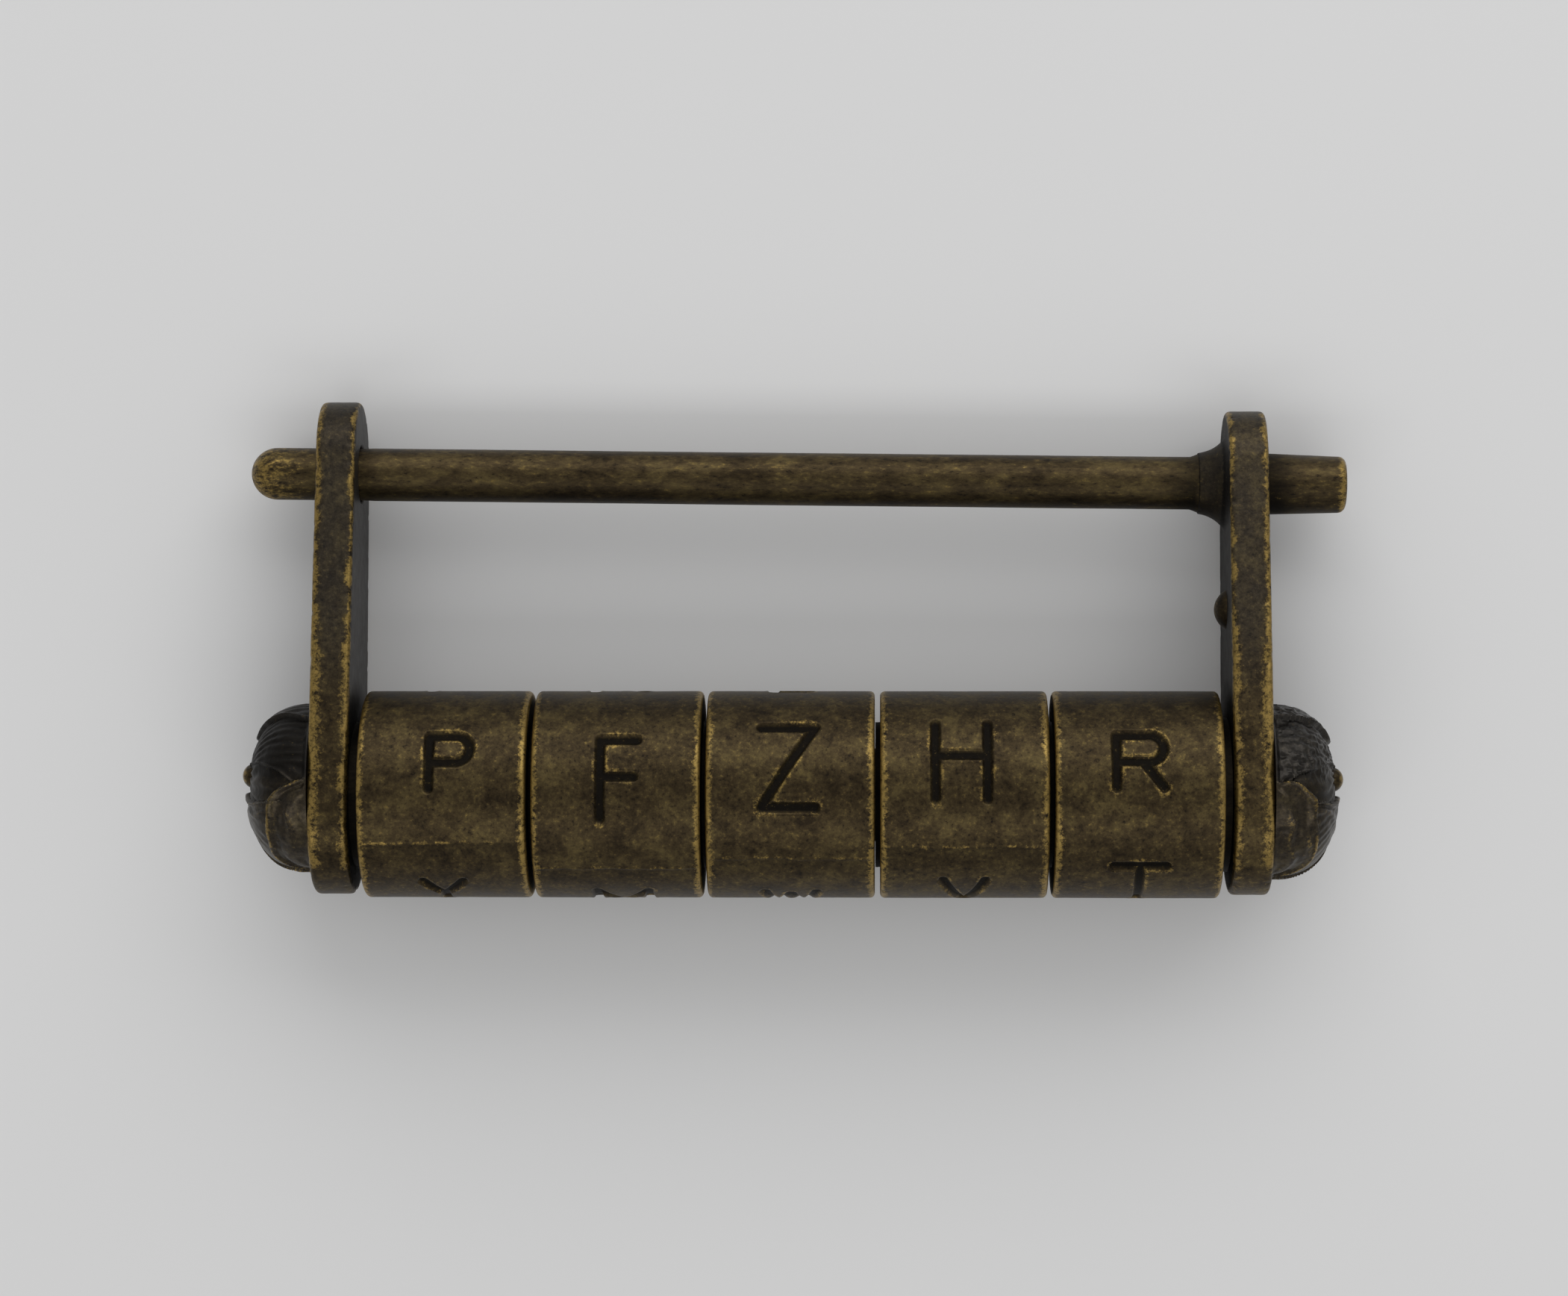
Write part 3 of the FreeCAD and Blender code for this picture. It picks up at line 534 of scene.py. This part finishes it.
def petal_relief(across, up_front, reach_scale, crumple, seed):
    """Carved petals: height in mm at or below the dome, and how much each point is a lip."""
    here = np.column_stack([across * 10, up_front * 10, 0 * across])
    reach = np.hypot(across, up_front)
    angle = np.arctan2(up_front, across) + 0.07 * lumps(here, 2.6, seed)
    reach = reach + 0.018 * lumps(here, 1.5, seed + 1) + 0.006 * lumps(here, 0.5, seed + 2)
    height = PETAL_BED + 0.08 * np.sin(angle * 20 + 2.0 * lumps(here, 2.0, seed + 5))
    lip = np.zeros(len(across))
    for k, (middle, half_width, tip, squareness, level, folds) in enumerate(PETALS):
        aside = (angle - math.radians(middle) + math.pi) % (2 * math.pi) - math.pi
        share = np.abs(aside) / math.radians(half_width)
        inside = reach - (tip + (1.2 - tip) * share ** squareness)
        inside_mm = inside * reach_scale
        rise = smoothstep(-0.06, 0.16, inside_mm)
        rolled = band(inside_mm, 0.28, 0.18)
        hollow = band(inside_mm, 0.95, 0.4) * folds
        waves = inside_mm * 3.4 + 2.2 * lumps(here, 2.4, seed + 20 + k)
        fold = np.sin(waves) * smoothstep(0.3, 1.0, inside_mm) * smoothstep(4.2, 1.8, inside_mm)
        rays = aside * 46 + 2.4 * lumps(here, 2.2, seed + 40 + k)
        veins = np.sin(rays) * smoothstep(0.15, 0.6, inside_mm)
        own = level - PETAL_THICKNESS + PETAL_THICKNESS * rise + 0.12 * rolled * rise - 0.18 * hollow
        vein_depth = 0.035 * (1.1 - folds) * (1 + lumps(here, 1.2, seed + 50 + k))
        own = own + 0.11 * folds * (fold - 1) + vein_depth * (veins - 1)
        own = np.where(inside_mm > -0.06, own, -1.0)
        on_top = own > height
        height = np.where(on_top, own, height)
        ridges = 0.5 * folds * np.clip(fold, 0, 1) + 0.1 * np.clip(veins, 0, 1)
        own_lip = rolled * (0.3 + 0.9 * folds) + ridges
        lip = np.where(on_top, own_lip, lip)
    broken = np.abs(lumps(here, 0.75, seed + 3)) + 0.5 * np.abs(lumps(here, 0.38, seed + 4))
    height = height - (0.03 + crumple) * broken
    return np.minimum(height, 0), lip


def make_knob(node, name, face_x, outward, crumple, upper_painted_shading, seed):
    """A carved knob: petals round a small bud. Its upper front half can be crumpled, and its whole upper
    half carries painted shade, or painted light where the amount is negative.
    """
    columns, dome_rows = 400, 150
    low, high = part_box(node)
    radius = (high.z - low.z) / 2 / MM
    length = (high.x - low.x) / MM
    crown = length - BUD_PROUD
    centre_y = knob_centre_y(node)
    turns = np.radians(np.linspace(0, 90, 2000))
    power = 2 / DOME_POWER
    fine = np.column_stack([crown * np.sin(turns) ** power, radius * np.abs(np.cos(turns)) ** power])
    run = np.concatenate([[0], np.cumsum(np.linalg.norm(np.diff(fine, axis=0), axis=1))])
    even = np.linspace(0, run[-1], dome_rows + 1)
    side = np.column_stack([np.interp(even, run, fine[:, 0]), np.interp(even, run, fine[:, 1])])
    slope = np.gradient(side, axis=0)
    slope /= np.linalg.norm(slope, axis=1)[:, None]
    hole = [(KNOB_PIN_DEPTH, 0), (KNOB_PIN_DEPTH, KNOB_PIN_RADIUS), (0, KNOB_PIN_RADIUS)]
    profile = hole + side.tolist()
    rows = len(profile)
    theta, x, r = turned(profile, columns)
    out_x = np.repeat(np.concatenate([np.zeros(len(hole)), -slope[:, 1]]), columns)
    out_r = np.repeat(np.concatenate([np.zeros(len(hole)), slope[:, 0]]), columns)
    carved = np.repeat(np.arange(rows) >= len(hole), columns)
    reach = np.repeat(np.concatenate([np.ones(len(hole)), 1 - even / run[-1]]), columns)
    shift = BUD_OFFSET / run[-1] * (1 - reach)
    towards_bar, towards_front = reach * np.sin(theta) - shift, reach * np.cos(theta)
    upper = smoothstep(-0.05, 0.12, towards_bar)
    crumpled = crumple * upper * smoothstep(-0.2, 0.2, towards_front)
    relief, lip = petal_relief(towards_bar, towards_front, run[-1], crumpled, seed)
    relief = relief * carved * smoothstep(1.0, 0.96, reach)
    x = x + out_x * relief
    r = np.maximum(r + out_r * relief, 0)
    y, z = r * np.sin(theta) + centre_y * carved, r * np.cos(theta)
    flat = np.hypot(y - centre_y - BUD_OFFSET, z)
    cap = length - BUD_RADIUS + np.sqrt(np.clip(BUD_RADIUS ** 2 - flat ** 2, 0, None)) - 0.03
    front = carved & (x > crown / 2)
    on_bud = front & (flat < BUD_RADIUS * 0.99) & (cap > x - 0.1)
    groove = band(flat, BUD_RADIUS + 0.12, 0.14) * front
    x = np.where(on_bud, np.maximum(x, cap), x - 0.15 * groove)
    bud_top = smoothstep(1.05, 0.5, flat / BUD_RADIUS) * on_bud
    points = np.column_stack([face_x + outward * x, y, z])
    here = np.column_stack([x, y, z])
    patchy = 0.4 + 0.8 * lumps(here, 1.6, seed + 60)
    worn = np.clip(1.4 * lip * np.clip(patchy, 0, 1) * (1 - 0.7 * upper) + 0.95 * bud_top, 0, 1) * carved
    # The upper-half term is painted shade on the left knob and painted light on the right knob.
    dark = np.clip(0.26 - 1.1 * (relief + 0.2) + 0.7 * groove - 0.6 * lip + upper_painted_shading * upper, 0, 1)
    dark = np.where(on_bud, 0.3 * (1 - bud_top), dark)
    cool = np.where(on_bud, 0.0, 0.45 + 0.4 * upper)
    values = {"worn": worn, "dark": dark, "cool": cool}
    return new_piece(name, points, grid_faces(rows, columns, False), values, 60)


def knob_centre_y(node):
    """How far a knob's axis lies from the ring axis towards the bar."""
    low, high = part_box(node)
    middle = Vector(((low.x + high.x) / 2, (low.y + high.y) / 2, (low.z + high.z) / 2)) / MM
    return (LIE.inverted() @ middle).y


class Nodes:
    """Short helpers for building a material's node tree."""

    def __init__(self, name):
        self.material = bpy.data.materials.new(name)
        self.material.use_nodes = True
        self.tree = self.material.node_tree
        self.shader = self.tree.nodes["Principled BSDF"]

    def link(self, source, target):
        self.tree.links.new(source, target)

    def add(self, kind, **settings):
        node = self.tree.nodes.new(kind)
        for key, value in settings.items():
            setattr(node, key, value)
        return node

    def noise(self, vector, scale, detail, roughness=0.5):
        node = self.add("ShaderNodeTexNoise")
        node.inputs["Scale"].default_value = scale
        node.inputs["Detail"].default_value = detail
        node.inputs["Roughness"].default_value = roughness
        self.link(vector, node.inputs["Vector"])
        return node.outputs["Fac"]

    def ramp(self, value, stops):
        node = self.add("ShaderNodeValToRGB")
        elements = node.color_ramp.elements
        while len(elements) < len(stops):
            elements.new(0.5)
        for element, (at, colour) in zip(elements, stops):
            element.position = at
            element.color = (*colour, 1)
        self.link(value, node.inputs["Fac"])
        return node.outputs["Color"]

    def range(self, value, low, high):
        """0 at low and 1 at high, with a smooth step between."""
        node = self.add("ShaderNodeMapRange", interpolation_type="SMOOTHSTEP")
        node.inputs["From Min"].default_value = low
        node.inputs["From Max"].default_value = high
        self.link(value, node.inputs["Value"])
        return node.outputs["Result"]

    def math(self, operation, first, second):
        node = self.add("ShaderNodeMath", operation=operation, use_clamp=False)
        for socket, value in zip(node.inputs, (first, second)):
            if isinstance(value, (int, float)):
                socket.default_value = value
            else:
                self.link(value, socket)
        return node.outputs[0]

    def mix_colour(self, share, first, second):
        """The first colour turning into the second as share goes from 0 to 1."""
        node = self.add("ShaderNodeMix", data_type="RGBA")
        factor = next(s for s in node.inputs if s.name == "Factor" and s.type == "VALUE")
        ends = [s for s in node.inputs if s.type == "RGBA"]
        self.link(share, factor)
        for socket, value in zip(ends, (first, second)):
            if isinstance(value, tuple):
                socket.default_value = (*value, 1)
            else:
                self.link(value, socket)
        return next(s for s in node.outputs if s.type == "RGBA")


DARK_BROWN = (0.022, 0.015, 0.0075)
BROWN = (0.050, 0.035, 0.016)
OLIVE = (0.098, 0.072, 0.029)
GOLD = (0.30, 0.203, 0.058)
STEELY = (0.040, 0.038, 0.036)
BLACK = (0.006, 0.005, 0.004)


def shade(colour, brightness):
    """The colour made darker or lighter."""
    return tuple(c * brightness for c in colour)


def bronze(name, brightness=1.0, speckle=1.0, stretch=(1, 1, 1), wear=1.0, roughness=0.46, relief=1.0):
    """Antique bronze: granular brown patina, olive-gold speckle, rubbed edges and blackened recesses, with
    painted shade carried in the dark attribute; brightness also paints the plates' lit and shaded copies.
    """
    n = Nodes(name)
    coords = n.add("ShaderNodeTexCoord").outputs["Object"]
    mapping = n.add("ShaderNodeMapping")
    mapping.inputs["Scale"].default_value = tuple(s / MM for s in stretch)
    n.link(coords, mapping.inputs["Vector"])
    at = mapping.outputs["Vector"]
    worn = n.add("ShaderNodeAttribute", attribute_name="worn").outputs["Fac"]
    dark = n.add("ShaderNodeAttribute", attribute_name="dark").outputs["Fac"]
    cool = n.add("ShaderNodeAttribute", attribute_name="cool").outputs["Fac"]
    broad = n.noise(at, 0.25, 3, 0.5)
    blotch = n.noise(at, 0.8, 5, 0.6)
    grain = n.noise(at, 2.6, 4, 0.75)
    fine = n.noise(at, 7.0, 3, 0.6)
    tone = n.math("ADD", n.math("MULTIPLY", broad, 0.25), n.math("MULTIPLY", blotch, 0.4))
    tone = n.math("ADD", tone, n.math("MULTIPLY", grain, 0.35))
    stops = ((0.40, DARK_BROWN), (0.5, BROWN), (0.61, OLIVE))
    colour = n.ramp(tone, [(at_tone, shade(patina, brightness)) for at_tone, patina in stops])
    flecks = n.math("MULTIPLY", n.range(grain, 0.55, 0.72), n.range(blotch, 0.4, 0.62))
    colour = n.mix_colour(n.math("MULTIPLY", flecks, 0.5 * speckle), colour, shade(GOLD, 0.7))
    colour = n.mix_colour(n.math("MULTIPLY", n.range(grain, 0.42, 0.3), 0.7), colour, BLACK)
    greyed = n.mix_colour(n.range(grain, 0.35, 0.65), shade(STEELY, 0.6), STEELY)
    colour = n.mix_colour(cool, colour, greyed)
    # The dark attribute blackens the patina in recesses and also carries painted shade; its lower values
    # on the right knob's upper half are painted light.
    colour = n.mix_colour(n.math("MULTIPLY", dark, 0.93), colour, BLACK)
    broken = n.math("ADD", n.math("MULTIPLY", grain, 1.1), n.math("MULTIPLY", fine, 0.5))
    uneven = n.math("MULTIPLY", n.math("SUBTRACT", broken, 0.8), 2.4)
    rub = n.math("MULTIPLY", n.range(n.math("ADD", worn, uneven), 0.35, 1.25), wear)
    colour = n.mix_colour(rub, colour, GOLD)
    n.link(colour, n.shader.inputs["Base Color"])
    rough = n.math("ADD", n.math("MULTIPLY", blotch, 0.2), roughness - 0.1)
    rough = n.math("ADD", rough, n.math("MULTIPLY", dark, 0.22))
    rough = n.math("SUBTRACT", rough, n.math("MULTIPLY", rub, 0.08))
    n.link(rough, n.shader.inputs["Roughness"])
    n.shader.inputs["Metallic"].default_value = 0.9
    height = n.math("ADD", n.math("MULTIPLY", grain, 0.6), n.math("MULTIPLY", fine, 0.25))
    bump = n.add("ShaderNodeBump")
    bump.inputs["Strength"].default_value = 0.4 * relief
    bump.inputs["Distance"].default_value = 0.08 * MM
    n.link(height, bump.inputs["Height"])
    n.link(bump.outputs["Normal"], n.shader.inputs["Normal"])
    return n.material


def tarnished(name, base, edge, roughness):
    """Machined brass under tarnish, for the pieces inside the lock."""
    n = Nodes(name)
    coords = n.add("ShaderNodeTexCoord").outputs["Object"]
    mapping = n.add("ShaderNodeMapping")
    mapping.inputs["Scale"].default_value = (0.35 / MM, 1 / MM, 1 / MM)
    n.link(coords, mapping.inputs["Vector"])
    at = mapping.outputs["Vector"]
    blotch = n.noise(at, 0.8, 6, 0.65)
    grain = n.noise(at, 4.5, 4, 0.6)
    colour = n.ramp(blotch, [(0.35, base), (0.68, edge)])
    colour = n.mix_colour(n.math("MULTIPLY", n.range(grain, 0.6, 0.38), 0.6), colour, BLACK)
    n.link(colour, n.shader.inputs["Base Color"])
    n.link(n.math("ADD", n.math("MULTIPLY", blotch, 0.3), roughness - 0.15), n.shader.inputs["Roughness"])
    n.shader.inputs["Metallic"].default_value = 0.95
    bump = n.add("ShaderNodeBump")
    bump.inputs["Strength"].default_value = 0.25
    bump.inputs["Distance"].default_value = 0.03 * MM
    n.link(grain, bump.inputs["Height"])
    n.link(bump.outputs["Normal"], n.shader.inputs["Normal"])
    return n.material


def dress(piece, material):
    """Gives a piece its one material."""
    piece.data.materials.clear()
    piece.data.materials.append(material)


def stage_and_light():
    """A plain pale floor, two long soft lamps either side of the camera and a soft fill."""
    mesh = bpy.data.meshes.new("floor")
    reach = 1.5
    corners = [(x * reach, y * reach, 0) for x, y in ((-1, -1), (1, -1), (1, 1), (-1, 1))]
    mesh.from_pydata(corners, [], [(0, 1, 2, 3)])
    floor = bpy.data.objects.new("floor", mesh)
    bpy.context.scene.collection.objects.link(floor)
    n = Nodes("pale_floor")
    n.shader.inputs["Base Color"].default_value = (0.76, 0.76, 0.76, 1)
    n.shader.inputs["Roughness"].default_value = 0.95
    n.shader.inputs["Specular IOR Level"].default_value = 0.1
    dress(floor, n.material)

    def lamp(name, from_vertical, azimuth, distance, length, width, power):
        data = bpy.data.lights.new(name, "AREA")
        data.shape = "RECTANGLE"
        data.size, data.size_y = length, width
        data.energy = power
        lamp_object = bpy.data.objects.new(name, data)
        a, v = math.radians(azimuth), math.radians(from_vertical)
        away = Vector((math.sin(v) * math.sin(a), math.sin(v) * math.cos(a), math.cos(v)))
        lamp_object.location = away * distance
        lamp_object.rotation_mode = "QUATERNION"
        lamp_object.rotation_quaternion = (-away).to_track_quat("-Z", "Y")
        bpy.context.scene.collection.objects.link(lamp_object)

    lamp("lamp_bar_side", 54, 14, 0.8, 1.2, 0.55, 3.2)
    lamp("lamp_ring_side", 36, 180, 0.8, 1.2, 0.22, 1.3)
    world = bpy.data.worlds.new("studio")
    world.use_nodes = True
    world.node_tree.nodes["Background"].inputs["Color"].default_value = (1, 1, 1, 1)
    world.node_tree.nodes["Background"].inputs["Strength"].default_value = 0.5
    bpy.context.scene.world = world


def make_camera():
    """Looks straight down on the resting lock from a little to the shackle plate's side."""
    image_width, image_height = 2101, 1736
    pixels_per_mm = 15.58
    distance = 350.0
    azimuth = math.radians(1.3)
    sensor = 36.0
    data = bpy.data.cameras.new("camera")
    data.sensor_width = sensor
    data.lens = sensor * pixels_per_mm * distance / image_width
    camera = bpy.data.objects.new("camera", data)
    target = Vector((-0.88, 0.04, AXIS_AT.z))
    camera.location = (target + distance * Vector((math.sin(azimuth), 0, math.cos(azimuth)))) * MM
    camera.rotation_euler = (0, azimuth, 0)
    data.clip_start = 0.01
    data.clip_end = 10
    bpy.context.scene.collection.objects.link(camera)
    bpy.context.scene.camera = camera


bpy.context.scene.view_settings.view_transform = "Standard"
bpy.context.scene.view_settings.look = "None"
make_camera()
stage_and_light()

RING_BRONZE = bronze("ring_bronze", 1.0, 1.0)
# One bronze for both plates: the left plate's copy is darkened as painted shade, and the right plate's
# copy, also on the rivet, is lightened as painted light, as light falls more on the right.
LEFT_PLATE_SHADED_BRONZE = bronze("left_plate_shaded_bronze", 0.85, 0.7, wear=0.85)
RIGHT_PLATE_LIT_BRONZE = bronze("right_plate_lit_bronze", 1.1, 0.9, wear=0.9)
BAR_BRONZE = bronze("bar_bronze", 1.15, 1.1, stretch=(0.45, 1, 1))
CARVED_BRONZE = bronze("carved_bronze", 0.95, 0.3, wear=0.7, roughness=0.30, relief=0.6)
WORN_BRASS = tarnished("worn_brass", (0.08, 0.058, 0.026), (0.30, 0.22, 0.09), 0.38)
DARK_WASHER = tarnished("dark_washer", (0.006, 0.005, 0.004), (0.02, 0.016, 0.010), 0.6)

for ring in range(RING_COUNT):
    piece = make_ring(ring)
    dress(piece, RING_BRONZE)
    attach(piece, "ring_%d" % (ring + 1))
    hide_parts("letter_ring_%d" % (ring + 1))

CAST_PIECES = (
    (make_bar(), "shackle", "shackle_bar", "antique_bronze", BAR_BRONZE),
    (make_rivet(), "shackle", "plate_rivet", "antique_bronze", RIGHT_PLATE_LIT_BRONZE),
    (
        make_plate("left_plate", "left_plate_cast", LEFT_OUTER_X, LEFT_INNER_X, LEFT_HEAD_Y, 0.1, 100),
        "lock_body",
        "left_plate",
        "antique_bronze",
        LEFT_PLATE_SHADED_BRONZE,
    ),
    (
        make_plate(
            "right_plate", "right_plate_cast", RIGHT_OUTER_X, RIGHT_INNER_X, RIGHT_HEAD_Y, 0.65, 120
        ),
        "shackle",
        "right_plate",
        "antique_bronze",
        RIGHT_PLATE_LIT_BRONZE,
    ),
    (
        # The left knob's upper half gets painted shade and the right knob's painted light.
        make_knob("left_knob", "left_knob_carved", LEFT_OUTER_X, -1, 0.0, 0.4, 140),
        "lock_body",
        "left_knob",
        "carved_bronze",
        CARVED_BRONZE,
    ),
    (
        make_knob("right_knob", "right_knob_carved", RIGHT_OUTER_X, 1, 0.2, -0.4, 170),
        "shackle",
        "right_knob",
        "carved_bronze",
        CARVED_BRONZE,
    ),
)
for piece, body, node, slot, material in CAST_PIECES:
    dress(piece, material)
    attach(piece, body)
    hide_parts(node)

for node in ("slotted_tube", "key_rod", "left_knob_pin", "right_knob_pin"):
    dress(NODES[node], WORN_BRASS)
for node in ("thrust_collar", "end_collar") + tuple("ring_spacer_%d" % i for i in range(1, RING_COUNT)):
    dress(NODES[node], DARK_WASHER)
